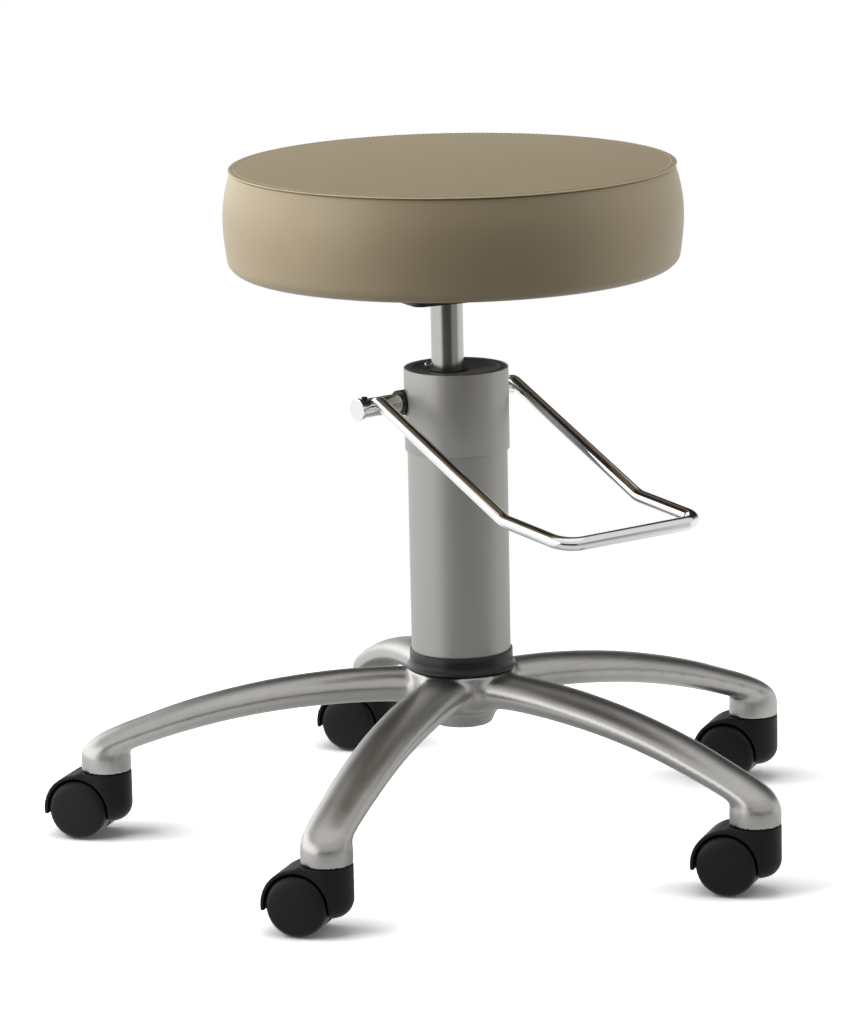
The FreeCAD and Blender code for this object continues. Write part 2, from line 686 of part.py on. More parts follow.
def make_hydraulics():
    boss_bottom = hub_top - base_boss_depth
    stud_hole = stud_radius + seat_gap
    turned("cylinder_base", [(zero, hub_bottom + swivel_gap), (stud_radius, hub_bottom + swivel_gap),
                             (stud_radius, boss_bottom), (base_boss_radius, boss_bottom),
                             (base_boss_radius, hub_top), (insert_radius, hub_top), (insert_radius, floor_z),
                             (zero, floor_z)])
    nut_top = hub_bottom + nut_well - washer_height
    keep(tube("hub_washer", nut_width / 2 + washer_margin, stud_hole, washer_height, None, None, nut_top),
         "hub_washer")
    keep(hex_nut("hub_nut", nut_width, stud_hole, nut_height, None, None, nut_top - nut_height), "hub_nut")
    keep(tube("cylinder_tube", cylinder_radius, cylinder_bore, head_bottom - floor_z, ram_x, ram_y, floor_z),
         "cylinder_tube")
    head = new_body("cylinder_head", None, None, head_bottom)
    disc = sketch_on(head, "head_circle", "XY_Plane")
    draw_circle(disc, insert_radius)
    pad(head, disc, "head_disc", head_thickness)
    drilled(head, "guide_hole", guide_radius + seat_gap, [(ram_x, ram_y)], head_thickness, head_thickness)
    drilled(head, "barrel_hole", barrel_radius + seat_gap, [(pump_x, pump_y)], head_thickness, head_thickness)
    keep(tube("ram_guide_bush", guide_radius, guide_bore, head_thickness, ram_x, ram_y, head_bottom),
         "ram_guide_bush")
    barrel_bottom = barrel_top - barrel_length
    turned("pump_barrel", [(zero, barrel_bottom), (barrel_radius, barrel_bottom), (barrel_radius, barrel_top),
                           (barrel_bore, barrel_top), (barrel_bore, barrel_bottom + barrel_wall),
                           (zero, barrel_bottom + barrel_wall)], None, pump_x, pump_y)
    spigot_top = race_z + ram_nut_height + stroke_rest
    piston_top = ram_bottom + piston_height
    turned("ram", [(zero, ram_bottom), (spigot_radius, ram_bottom), (spigot_radius, piston_top),
                   (ram_radius, piston_top), (ram_radius, plate_z), (spigot_radius, plate_z),
                   (spigot_radius, spigot_top), (zero, spigot_top)], None, ram_x, ram_y)
    piston_radius = cylinder_bore - running_gap
    groove = piston_height / 3
    turned("ram_piston", [(spigot_radius + seat_gap, ram_bottom), (piston_radius, ram_bottom),
                          (piston_radius, ram_bottom + groove), (ram_radius, ram_bottom + groove),
                          (ram_radius, piston_top - groove), (piston_radius, piston_top - groove),
                          (piston_radius, piston_top), (spigot_radius + seat_gap, piston_top)],
           None, ram_x, ram_y)
    keep(tube("piston_seal", piston_radius + running_gap / 2, ram_radius + seat_gap, groove - seat_gap * 2,
              ram_x, ram_y, ram_bottom + groove + seat_gap), "piston_seal")


def make_pump():
    plunger_bottom = plunger_top - plunger_length
    ring = plunger_radius / 2
    seal_z = plunger_bottom + plunger_radius
    seal_bore = plunger_radius - ring / 2
    seat_edge = spring_radius + spring_wire
    dome_edge = plunger_dome - root(plunger_dome * plunger_dome - plunger_radius * plunger_radius)
    turned("pump_plunger", [(zero, plunger_bottom), (plunger_radius, plunger_bottom),
                            (plunger_radius, seal_z), (seal_bore, seal_z),
                            (seal_bore, seal_z + ring), (plunger_radius, seal_z + ring),
                            (plunger_radius, spring_top), (seat_edge, spring_top),
                            (seat_edge, spring_top + spring_seat), (plunger_radius, spring_top + spring_seat),
                            (plunger_radius, plunger_top - dome_edge), (zero, plunger_top)],
           {10: (plunger_dome, True)}, pump_x, pump_y)
    keep(tube("plunger_seal", plunger_radius + running_gap / 2, seal_bore + seat_gap, ring - seat_gap * 2,
              pump_x, pump_y, seal_z + seat_gap), "plunger_seal")
    height = spring_top.value - barrel_top.value - spring_wire.value - 2 * seat_gap.value
    helix = Part.makeHelix(height / spring_turns.value, height, spring_radius.value)
    wire = Part.Circle(Vector(spring_radius.value, 0, 0), Vector(0, 1, 0), spring_wire.value / 2).toShape()
    coil = Part.Wire(helix.Edges).makePipeShell([Part.Wire([wire])], True, True)
    spring = doc.addObject("Part::Feature", "pump_spring")
    spring.Shape = coil
    low = barrel_top.value + spring_wire.value / 2 + seat_gap.value
    spring.Placement = FreeCAD.Placement(Vector(pump_x.value, pump_y.value, low), FreeCAD.Rotation())
    keep(spring, "pump_spring")
    lever_reach = shaft_behind - pump_y + lever_overhang
    lever = new_body("pump_lever", pump_x, shaft_behind, shaft_z)
    circle = sketch_on(lever, "lever_circle", "XZ_Plane")
    draw_circle(circle, lever_radius)
    rod = pad(lever, circle, "lever_rod", lever_reach)
    doc.recompute()
    tip = [name for name, edge in zip(edge_names(rod), rod.Shape.Edges)
           if abs(edge.CenterOfMass.y + lever_reach.value) < 1e-6][0]
    rounding = lever.newObject("PartDesign::Fillet", "lever_tip")
    rounding.Base = (rod, [tip])
    bind(rounding, "Radius", lever_tip_round)


def edge_names(feature):
    return ["Edge%d" % (index + 1) for index in range(len(feature.Shape.Edges))]


def bar_path():
    # Centre line of the foot bar, from one shaft joint round the front to the other, with its corners rounded.
    neck_x = bar_half_span.value
    shaft = Vector(-neck_x, shaft_behind.value, shaft_z.value)
    marks = [(bar_neck_forward, bar_neck_rise), (bar_knee_forward, -bar_knee_drop),
             (bar_front_forward, -bar_front_drop)]
    left = [shaft + Vector(0, -forward.value, rise.value) for forward, rise in marks]
    start = shaft + (left[0] - shaft) * (0.5 * shaft_radius.value / (left[0] - shaft).Length)
    points = [start] + left
    points += [Vector(-point.x, point.y, point.z) for point in reversed(points)]
    bends = [bar_neck_bend, bar_knee_bend, bar_front_bend]
    bends += list(reversed(bends))
    edges = []
    here = points[0]
    for before, corner, after, bend in zip(points, points[1:], points[2:], bends):
        back = (before - corner).normalize()
        ahead = (after - corner).normalize()
        half_turn = (math.pi - back.getAngle(ahead)) / 2
        length = bend.value * math.tan(half_turn)
        middle = corner + (back + ahead).normalize() * (bend.value / math.cos(half_turn) - bend.value)
        edges.append(Part.LineSegment(here, corner + back * length).toShape())
        here = corner + ahead * length
        edges.append(Part.Arc(corner + back * length, middle, here).toShape())
    edges.append(Part.LineSegment(here, points[-1]).toShape())
    return Part.Wire(edges), points


def make_foot_bar():
    path, points = bar_path()
    heading = (points[1] - points[0]).normalize()
    section = Part.Wire([Part.Circle(points[0], heading, bar_radius.value).toShape()])
    rod = path.makePipeShell([section], True, True)
    whole = math.pi * bar_radius.value ** 2 * path.Length
    if abs(rod.Volume / whole - 1) > 0.01:
        raise RuntimeError("the foot bar's sweep lost its section")
    around = Part.makeCylinder(shaft_radius.value + seat_gap.value, shaft_reach.value * 2,
                               Vector(-shaft_reach.value, shaft_behind.value, shaft_z.value), Vector(1, 0, 0))
    bar = rod.cut(around)
    spigots = []
    holes = []
    neck_length = Vector(0, bar_neck_forward.value, bar_neck_rise.value).Length
    for side in (-1, 1):
        joint = Vector(side * bar_half_span.value, shaft_behind.value, shaft_z.value)
        spigots.append(Part.makeCylinder(bar_spigot_radius.value, neck_length, joint, heading))
        hole_radius = bar_spigot_radius.value + seat_gap.value
        hole_start = joint - heading * seat_gap.value
        holes.append(Part.makeCylinder(hole_radius, shaft_radius.value * 2, hole_start, heading))
    bar_piece = doc.addObject("Part::Feature", "pedal_bar")
    bar_piece.Shape = bar.fuse(spigots).removeSplitter()
    keep(bar_piece, "pedal_bar")
    rod_solid = cylinder("shaft_rod", shaft_radius, shaft_length, -shaft_reach, shaft_behind, shaft_z, "x")
    screw_x = lock_screw_inset - shaft_reach
    tools = [cylinder("shaft_lever_hole", lever_radius + seat_gap, shaft_radius * 2, pump_x,
                      shaft_behind - shaft_radius * 2, shaft_z, "y"),
             cylinder("shaft_end_well", bar_spigot_radius + seat_gap, end_cap_spigot + seat_gap, -shaft_reach,
                      shaft_behind, shaft_z, "x"),
             cylinder("lock_screw_hole", lock_screw_radius + seat_gap, shaft_radius, screw_x, shaft_behind,
                      shaft_z)]
    for number, hole in enumerate(holes, 1):
        arm_hole = doc.addObject("Part::Feature", "shaft_arm_hole_%d" % number)
        arm_hole.Shape = hole
        tools.append(arm_hole)
    keep(cut("pedal_shaft", rod_solid, fuse("shaft_cuts", tools)), "pedal_shaft")
    plate = cylinder("end_cap_plate", end_cap_radius, end_cap_height, -shaft_reach - end_cap_height,
                     shaft_behind, shaft_z, "x")
    plug = cylinder("end_cap_plug", bar_spigot_radius, end_cap_spigot, -shaft_reach, shaft_behind, shaft_z, "x")
    keep(fuse("pedal_end_cap", [plate, plug]), "pedal_end_cap")
    keep(cylinder("pedal_lock_screw", lock_screw_radius, shaft_radius - bar_spigot_radius + lock_screw_proud,
                  screw_x, shaft_behind, shaft_z + bar_spigot_radius + seat_gap), "pedal_lock_screw")
    bushes = []
    for number, side in enumerate((-1, 1), 1):
        start = bush_inner_reach if side > 0 else -bush_outer_reach
        outer = cylinder("bush_wall_%d" % number, bush_radius, bush_outer_reach - bush_inner_reach, start,
                         shaft_behind, shaft_z, "x")
        inner = cylinder("bush_bore_%d" % number, shaft_bore, bush_outer_reach - bush_inner_reach, start,
                         shaft_behind, shaft_z, "x")
        bushes.append(cut("bush_%d" % number, outer, inner))
    group("shaft_bushes", bushes)


def square_plate(label, z, holes):
    plate = new_body(label, None, None, z, plate_turn)
    outline = sketch_on(plate, label + "_outline", "XY_Plane")
    rounded_square(outline, plate_side, plate_corner)
    pad(plate, outline, label + "_sheet", plate_thickness)
    for name, radius, places in holes:
        drilled(plate, name, radius, places, plate_thickness, plate_thickness)
    return plate


def turned_place(x, y):
    # A place in the row frame, seen from the turned plates.
    return (x * cosine(plate_turn) + y * sine(plate_turn), y * cosine(plate_turn) - x * sine(plate_turn))


def make_swivel():
    spigot_hole = spigot_radius + seat_gap
    square_plate("swivel_plate", plate_z, [("ram_hole", spigot_hole, [turned_place(ram_x, ram_y)])])
    keep(hex_nut("ram_nut", ram_nut_width, spigot_hole, ram_nut_height, ram_x, ram_y, race_z), "ram_nut")
    inner = race_radius - race_half_width
    outer = race_radius + race_half_width
    step = outer - retainer_reach
    lip_top = race_z + retainer_lip + swivel_gap * 2
    groove = doc.addObject("Part::Torus", "race_groove")
    bind(groove, "Radius1", race_radius)
    bind(groove, "Radius2", ball_radius + seat_gap)
    put(groove, None, None, ball_z)
    foot = tube("lower_race_foot", step, inner, lip_top - race_z, None, None, race_z)
    crown = tube("lower_race_crown", outer, inner, race_z + race_height - lip_top, None, None, lip_top)
    keep(cut("swivel_lower_race", fuse("lower_race_plain", [foot, crown]), groove), "swivel_lower_race")
    top = tube("upper_race_plain", outer, inner, race_height, None, None, upper_race_z)
    keep(cut("swivel_upper_race", top, groove), "swivel_upper_race")
    wall = outer + swivel_gap
    low = race_z + swivel_gap
    turned("swivel_retainer", [(step + swivel_gap, low), (wall + retainer_wall, low),
                               (wall + retainer_wall, seat_plate_z), (wall, seat_plate_z),
                               (wall, low + retainer_lip), (step + swivel_gap, low + retainer_lip)])
    balls = []
    for number in range(ball_count):
        ball = doc.addObject("Part::Sphere", "ball_%d" % (number + 1))
        bind(ball, "Radius", ball_radius)
        angle = term(number * 360 / ball_count)
        balls.append(put(ball, race_radius * cosine(angle), race_radius * sine(angle), ball_z))
    group("swivel_balls", balls)


def make_seat():
    corners = [(bolt_spacing * sx, bolt_spacing * sy) for sx in (-1, 1) for sy in (-1, 1)]
    square_plate("seat_plate", seat_plate_z, [("bolt_holes", bolt_radius + seat_gap, corners)])
    tee_bore = bolt_radius + seat_gap
    tee_barrel = tee_bore + tee_wall
    tee_length = board_thickness - tee_flange
    board = new_body("seat_board", None, None, seat_bottom, plate_turn)
    disc = sketch_on(board, "board_circle", "XY_Plane")
    draw_circle(disc, board_radius)
    pad(board, disc, "board_disc", board_thickness)
    drilled(board, "tee_holes", tee_barrel + seat_gap, corners, board_thickness, board_thickness)
    drilled(board, "tee_recesses", tee_radius + seat_gap, corners, tee_flange, board_thickness)
    bolts = []
    tees = []
    for number, (along, across) in enumerate(corners, 1):
        x = along * cosine(plate_turn) - across * sine(plate_turn)
        y = along * sine(plate_turn) + across * cosine(plate_turn)
        head = hex_prism("bolt_head_%d" % number, bolt_head_width, bolt_head_height, x, y,
                         seat_plate_z - bolt_head_height)
        shank = cylinder("bolt_shank_%d" % number, bolt_radius, plate_thickness + tee_length,
                         x, y, seat_plate_z)
        bolts.append(fuse("bolt_%d" % number, [head, shank]))
        flange = tube("tee_flange_%d" % number, tee_radius, tee_bore, tee_flange, x, y, board_top - tee_flange)
        barrel = tube("tee_barrel_%d" % number, tee_barrel, tee_bore, tee_length, x, y, seat_bottom)
        tees.append(fuse("tee_%d" % number, [flange, barrel]))
    group("seat_bolts", bolts)
    group("seat_tee_nuts", tees)
    seam_z = seat_bottom + seat_thickness
    seam_radius = seat_radius - seam_inset
    foot_radius = seat_radius - foot_inset
    recess = board_radius + soft_gap
    side_arc = arc_radius((seat_thickness - foot_height) / 2, (seam_inset + foot_inset) / 2)
    lip_radius = seam_radius - lip_round
    turned("seat_cushion", [(zero, board_top + soft_gap), (recess, board_top + soft_gap),
                            (recess, seat_bottom), (foot_radius - foot_round, seat_bottom),
                            (foot_radius, seat_bottom + foot_height),
                            (seam_radius, seam_z), (lip_radius, seam_z + lip_round),
                            (zero, seam_z + lip_round + crown_height)],
           {3: (foot_round, True), 4: (side_arc, True), 5: (lip_round, True),
            6: (arc_radius(lip_radius, crown_height), True)})


make_base()
make_casters()
make_column()
make_hydraulics()
make_pump()
make_foot_bar()
make_swivel()
make_seat()
doc.recompute()

for thing in doc.Objects:
    if "Invalid" in thing.State or "Error" in thing.State:
        raise RuntimeError("not built: " + thing.Label)
for piece in pieces:
    if piece.Shape.isNull() or not piece.Shape.isValid():
        raise RuntimeError("bad solid: " + piece.Label)

os.makedirs("parts", exist_ok=True)
for piece in pieces:
    piece.Shape.exportStep(os.path.join("parts", piece.Label + ".step"))
    print(piece.Label, len(piece.Shape.Solids), round(piece.Shape.Volume / 1000, 2))
print(len(pieces), "pieces")
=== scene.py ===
import bmesh
import bpy
import json
import math
from mathutils import Matrix, Vector


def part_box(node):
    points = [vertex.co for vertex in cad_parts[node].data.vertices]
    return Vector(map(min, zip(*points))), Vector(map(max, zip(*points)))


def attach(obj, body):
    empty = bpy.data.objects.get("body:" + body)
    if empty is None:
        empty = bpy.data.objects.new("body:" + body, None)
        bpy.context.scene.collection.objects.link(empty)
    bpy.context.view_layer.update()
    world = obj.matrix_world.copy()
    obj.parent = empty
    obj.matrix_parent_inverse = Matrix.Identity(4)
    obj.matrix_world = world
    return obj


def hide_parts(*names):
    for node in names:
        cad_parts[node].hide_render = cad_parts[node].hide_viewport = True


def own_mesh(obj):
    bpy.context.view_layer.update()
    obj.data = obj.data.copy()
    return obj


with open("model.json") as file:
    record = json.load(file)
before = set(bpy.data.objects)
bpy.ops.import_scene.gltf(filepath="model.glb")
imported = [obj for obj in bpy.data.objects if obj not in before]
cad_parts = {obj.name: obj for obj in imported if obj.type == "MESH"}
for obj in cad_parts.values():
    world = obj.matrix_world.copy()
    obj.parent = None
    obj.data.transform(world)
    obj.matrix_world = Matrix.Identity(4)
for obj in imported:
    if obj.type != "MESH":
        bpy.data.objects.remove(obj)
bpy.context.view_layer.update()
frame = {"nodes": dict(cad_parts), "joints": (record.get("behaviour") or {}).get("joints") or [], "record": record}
nodes = frame["nodes"]
scene = bpy.context.scene
scene.view_settings.view_transform = "Standard"
fullTurn = 2 * math.pi
mergeWithin = 1e-6
upAxis = Vector((0, 0, 1))
print("frame loaded:", len(nodes), "nodes")


class Signal:
    # a shader socket that can stand in a sum
    def __init__(self, shop, socket):
        self.shop = shop
        self.socket = socket

    def calc(self, operation, left, right=0.0):
        return self.shop.make("ShaderNodeMath", {"operation": operation}, {0: left, 1: right})

    def __add__(self, other):
        return self.calc("ADD", self, other)

    def __radd__(self, other):
        return self.calc("ADD", other, self)

    def __sub__(self, other):
        return self.calc("SUBTRACT", self, other)

    def __rsub__(self, other):
        return self.calc("SUBTRACT", other, self)

    def __mul__(self, other):
        return self.calc("MULTIPLY", self, other)

    def __rmul__(self, other):
        return self.calc("MULTIPLY", other, self)

    def __truediv__(self, other):
        return self.calc("DIVIDE", self, other)

    def __pow__(self, other):
        return self.calc("POWER", self, other)

    def most(self, other):
        return self.calc("MAXIMUM", self, other)


class Shop:
    # wires one node tree
    def __init__(self, tree):
        self.tree = tree

    def make(self, kind, settings=None, sockets=None, output=0):
        node = self.tree.nodes.new(kind)
        for name, value in (settings or {}).items():
            setattr(node, name, value)
        self.feed(node, sockets or {})
        return Signal(self, node.outputs[output]) if node.outputs else None

    def feed(self, node, sockets):
        for name, value in sockets.items():
            if isinstance(value, Signal):
                self.tree.links.new(value.socket, node.inputs[name])
            else:
                node.inputs[name].default_value = value

    def tint(self, factor, dark, light):
        colours = [colour if isinstance(colour, Signal) else (*colour, 1) for colour in (dark, light)]
        sockets = {"Factor": factor, 6: colours[0], 7: colours[1]}
        return self.make("ShaderNodeMix", {"data_type": "RGBA"}, sockets, 2)

    def place(self):
        return self.make("ShaderNodeTexCoord", output=3)

    def axes(self, vector):
        return [self.make("ShaderNodeSeparateXYZ", None, {0: vector}, side) for side in range(3)]

    def stretched(self, x, y, z):
        return self.make("ShaderNodeCombineXYZ", None, {0: x, 1: y, 2: z})

    def noise(self, vector, scale, detail=2.0, roughness=0.5):
        sockets = {"Vector": vector, "Scale": scale, "Detail": detail, "Roughness": roughness}
        return self.make("ShaderNodeTexNoise", None, sockets)

    def bump(self, height, strength, distance):
        return self.make("ShaderNodeBump", None, {"Height": height, "Strength": strength, "Distance": distance})


def eased(shop, value, low, high):
    return shop.make("ShaderNodeMapRange", {"interpolation_type": "SMOOTHSTEP"},
                     {"Value": value, "From Min": low, "From Max": high})


def newFinish(name, fixed):
    material = bpy.data.materials.new(name)
    material.use_nodes = True
    shop = Shop(material.node_tree)
    shader = material.node_tree.nodes["Principled BSDF"]
    shop.feed(shader, fixed)
    return material, shop, shader


cushionLow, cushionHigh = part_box("seat_cushion")
cushion = {
    "steps": 144, "radius": cushionHigh.x, "bottom": cushionLow.z, "top": cushionHigh.z, "skin": 0.0002,
    "seamDrop": 0.0064, "seamInset": 0.0062, "tuck": 0.0020, "lip": 0.0010, "panel": 0.0013, "valley": 0.00015,
    "footInset": 0.0022, "footRise": 0.0080, "footRound": 0.0085, "footShare": 0.25,
    "bottomRadius": 0.1660, "bottomGap": 0.0012, "bottomTurn": 0.010, "bottomRounds": (0.003, 0.006),
    "boxRows": 14, "swell": 0.0046, "swellLean": 1.3, "swellEdge": 2.2,
    "quality": 6, "mass": 0.01, "stiffness": 5, "bending": 0.5, "pressure": 120.0, "frames": 20,
    "cap": 0.0035, "heldMargin": 0.004, "tautRounds": 16,
    "crownAt": (0.2, 0.4, 0.6, 0.75, 0.88, 0.95),
    "stitchInset": 0.0052, "stitchPitch": 0.0040, "stitchLength": 0.0027, "stitchWidth": 0.0011, "stitchFlat": 0.8}
vinylLook = {"dark": (0.402, 0.328, 0.208), "light": (0.443, 0.361, 0.233), "gloss": 0.42, "rough": 0.42,
             "cloud": 26.0, "cloudPlay": 0.10, "grain": 1100, "pores": 1870, "poreShare": 0.4, "porePlay": 0.06,
             "bump": 0.10, "depth": 0.0004,
             # the pale edge colour and its band are a painted highlight along the top panel's lip
             "edgeHighlight": (0.62, 0.53, 0.37), "highlightWidth": 0.0016, "highlightFade": 0.0004}


def vinylFinish():
    material, shop, shader = newFinish("taupeVinyl", {"Specular IOR Level": vinylLook["gloss"]})
    place = shop.place()
    cloud = shop.noise(place, vinylLook["cloud"], 4.0)
    grain = shop.make("ShaderNodeTexVoronoi", {"feature": "DISTANCE_TO_EDGE"},
                      {"Vector": place, "Scale": vinylLook["grain"], "Randomness": 0.9})
    pores = shop.noise(place, vinylLook["pores"])
    x, y, z = shop.axes(place)
    lipRadius = cushion["radius"] - cushion["seamInset"] + cushion["lip"]
    seamZ = cushion["top"] - cushion["seamDrop"]
    # a painted highlight: a pale band along the lip of the top panel
    lipHighlight = eased(shop, (x * x + y * y) ** 0.5, lipRadius - vinylLook["highlightWidth"], lipRadius - vinylLook["highlightFade"])
    lipHighlight = lipHighlight * eased(shop, z, seamZ - vinylLook["highlightFade"], seamZ)
    plain = shop.tint(cloud, vinylLook["dark"], vinylLook["light"])
    rough = vinylLook["rough"] + vinylLook["cloudPlay"] * (cloud - 0.5) + vinylLook["porePlay"] * (pores - 0.5)
    shop.feed(shader, {
        "Base Color": shop.tint(lipHighlight, plain, vinylLook["edgeHighlight"]),  # painted highlight: paler along the top panel's edge, where the edge would catch the light
        "Roughness": rough,
        "Normal": shop.bump(grain + pores * vinylLook["poreShare"], vinylLook["bump"], vinylLook["depth"])})
    return material


threadLook = {"dark": (0.52, 0.45, 0.34), "light": (0.70, 0.62, 0.49), "gloss": 0.3, "twist": 1500.0, "rough": 0.6,
              "play": 0.2}


def threadFinish():
    material, shop, shader = newFinish("seamThread", {"Specular IOR Level": threadLook["gloss"]})
    twist = shop.noise(shop.place(), threadLook["twist"], 1.0)
    shop.feed(shader, {"Base Color": shop.tint(twist, threadLook["dark"], threadLook["light"]),
                       "Roughness": threadLook["rough"] + threadLook["play"] * twist})
    return material


aluminiumLook = {"dark": (0.30, 0.294, 0.278), "light": (0.64, 0.629, 0.605), "rough": 0.35,
                 "cloud": 14.0, "streakMix": 0.65, "cloudMix": 0.35, "streakPlay": 0.20, "cloudPlay": 0.04,
                 "bump": 0.08, "depth": 0.0002,
                 "streaks": ((1100, 28, 0.45), (380, 9, 0.55))}  # across and along, per metre, then their share


def aluminiumFinish(look):
    # brushed along the legs, so the streaks run out from the hub
    material, shop, shader = newFinish("brushedAluminium", {"Metallic": 1.0})
    x, y, z = shop.axes(shop.place())
    reach = (x * x + y * y) ** 0.5
    arc = shop.make("ShaderNodeMath", {"operation": "ARCTAN2"}, {0: y, 1: x}) * reach
    streak = sum(share * shop.noise(shop.stretched(reach * along, arc * across, z * across), 1.0, 3.0)
                 for across, along, share in look["streaks"])
    cloud = shop.noise(shop.place(), look["cloud"], 3.0)
    mix = look["streakMix"] * streak + look["cloudMix"] * cloud
    shop.feed(shader, {
        "Base Color": shop.tint(mix, look["dark"], look["light"]),
        "Roughness": look["rough"] + look["streakPlay"] * (streak - 0.5) + look["cloudPlay"] * (cloud - 0.5),
        "Normal": shop.bump(streak, look["bump"], look["depth"])})
    return material


paintLook = {"dark": (0.37, 0.365, 0.343), "light": (0.455, 0.45, 0.427), "rough": 0.44, "fleck": 2600,
             "metal": 0.55, "cloud": 9.0, "fleckMix": 0.7, "cloudMix": 0.3, "fleckPlay": 0.08, "cloudPlay": 0.05,
             "bump": 0.06, "depth": 0.0002}


def paintFinish(look):
    # silver grey paint with fine metal flecks
    material, shop, shader = newFinish("silverPaint", {"Metallic": look["metal"]})
    place = shop.place()
    fleck = shop.noise(place, look["fleck"], 1.0)
    cloud = shop.noise(place, look["cloud"], 3.0)
    mix = look["fleckMix"] * fleck + look["cloudMix"] * cloud
    shop.feed(shader, {
        "Base Color": shop.tint(mix, look["dark"], look["light"]),
        "Roughness": look["rough"] + look["fleckPlay"] * (fleck - 0.5) + look["cloudPlay"] * (cloud - 0.5),
        "Normal": shop.bump(fleck, look["bump"], look["depth"])})
    return material


metalShared = {"cloud": 18.0, "cloudShare": 0.6, "depth": 0.0002}


def metalFinish(name, look):
    # plain metals: polished, turned or plated, told apart by colour, gloss and the run of their marks
    material, shop, shader = newFinish(name, {"Metallic": 1.0})
    x, y, z = shop.axes(shop.place())
    marks = shop.noise(shop.stretched(x * look["marks"][0], y * look["marks"][1], z * look["marks"][2]), 1.0, 2.0)
    cloud = shop.noise(shop.place(), metalShared["cloud"], 3.0)
    dark = [level * look["fade"] for level in look["colour"]]
    cloudPlay = look["play"] * metalShared["cloudShare"]
    shop.feed(shader, {
        "Base Color": shop.tint(0.5 * marks + 0.5 * cloud, dark, look["colour"]),
        "Roughness": look["rough"] + look["play"] * (marks - 0.5) + cloudPlay * (cloud - 0.5),
        "Normal": shop.bump(marks, look["bump"], metalShared["depth"])})
    return material


metalLooks = {
    "chromeBar": {"colour": (0.88, 0.89, 0.90), "fade": 0.97, "rough": 0.045, "play": 0.02,
                  "marks": (60, 60, 60), "bump": 0.002},
    "polishedRam": {"colour": (0.52, 0.51, 0.49), "fade": 0.92, "rough": 0.20, "play": 0.05,
                    "marks": (40, 40, 1800), "bump": 0.01},
    "zincSteel": {"colour": (0.62, 0.62, 0.61), "fade": 0.82, "rough": 0.30, "play": 0.14,
                  "marks": (500, 500, 900), "bump": 0.05},
    "turnedBronze": {"colour": (0.62, 0.43, 0.21), "fade": 0.80, "rough": 0.30, "play": 0.12,
                     "marks": (60, 60, 1500), "bump": 0.05},
}


plasticShared = {"cloud": 30.0, "fade": 0.75, "grainMix": 0.4, "cloudMix": 0.6, "cloudPlay": 0.12, "grainPlay": 0.08,
                 "depth": 0.0003}


def plasticFinish(name, look):
    # moulded plastic, rubber and powder coat: a fine grain and slight wear of the gloss
    material, shop, shader = newFinish(name, {"Specular IOR Level": look["gloss"]})
    place = shop.place()
    grain = shop.noise(place, look["grain"], 2.0)
    cloud = shop.noise(place, plasticShared["cloud"], 3.0)
    dark = [level * plasticShared["fade"] for level in look["colour"]]
    mix = plasticShared["grainMix"] * grain + plasticShared["cloudMix"] * cloud
    play = plasticShared["cloudPlay"] * (cloud - 0.5) + plasticShared["grainPlay"] * (grain - 0.5)
    shop.feed(shader, {
        "Base Color": shop.tint(mix, dark, look["colour"]),
        "Roughness": look["rough"] + play,
        "Normal": shop.bump(grain, look["bump"], plasticShared["depth"])})
    return material


plasticLooks = {
    "blackHood": {"colour": (0.007, 0.007, 0.007), "rough": 0.46, "gloss": 0.24, "grain": 2200, "bump": 0.10},
    "blackWheel": {"colour": (0.008, 0.008, 0.008), "rough": 0.42, "gloss": 0.25, "grain": 1800, "bump": 0.06},
    "blackRing": {"colour": (0.012, 0.012, 0.012), "rough": 0.36, "gloss": 0.36, "grain": 1500, "bump": 0.05},
    "blackCap": {"colour": (0.074, 0.073, 0.069), "rough": 0.50, "gloss": 0.4, "grain": 1900, "bump": 0.12},
    "blackPowder": {"colour": (0.014, 0.014, 0.014), "rough": 0.48, "gloss": 0.4, "grain": 1300, "bump": 0.14},
    "sealRubber": {"colour": (0.013, 0.013, 0.013), "rough": 0.60, "gloss": 0.3, "grain": 900, "bump": 0.08},
}
plywoodLook = {"dark": (0.36, 0.22, 0.11), "light": (0.60, 0.43, 0.25), "grain": (6, 55, 400), "rough": 0.55,
               "play": 0.2, "bump": 0.1, "depth": 0.0004}


def plywoodFinish():
    material, shop, shader = newFinish("plywoodBoard", {})
    x, y, z = shop.axes(shop.place())
    along, across, through = plywoodLook["grain"]
    rings = shop.noise(shop.stretched(x * along, y * across, z * through), 1.0, 4.0, 0.6)
    shop.feed(shader, {"Base Color": shop.tint(rings, plywoodLook["dark"], plywoodLook["light"]),
                       "Roughness": plywoodLook["rough"] + plywoodLook["play"] * (rings - 0.5),
                       "Normal": shop.bump(rings, plywoodLook["bump"], plywoodLook["depth"])})
    return material


finishes = {name: metalFinish(name, look) for name, look in metalLooks.items()}
finishes.update({name: plasticFinish(name, look) for name, look in plasticLooks.items()})
finishes.update(vinyl=vinylFinish(), thread=threadFinish(), aluminium=aluminiumFinish(aluminiumLook),
                paint=paintFinish(paintLook), plywood=plywoodFinish())
slotFinish = {"cushion_vinyl": "vinyl", "cast_aluminium": "aluminium", "grey_paint": "paint",
              "black_plastic": "blackHood", "wheel_plastic": "blackWheel", "chrome": "chromeBar",
              "ram_steel": "polishedRam", "bright_steel": "zincSteel", "black_steel": "blackPowder",
              "bush_plastic": "blackRing", "bronze": "turnedBronze", "seal_rubber": "sealRubber",
              "plywood": "plywood"}
ownFinish = {"base_ring": "blackRing", "column_cap": "blackCap"}
slotOf = {part["node"]: part["material_slot"] for part in frame["record"]["subparts"]}
for name, node in nodes.items():
    node.data.materials.clear()
    node.data.materials.append(finishes[ownFinish.get(name, slotFinish[slotOf[name]])])
print("finishes:", len(finishes))


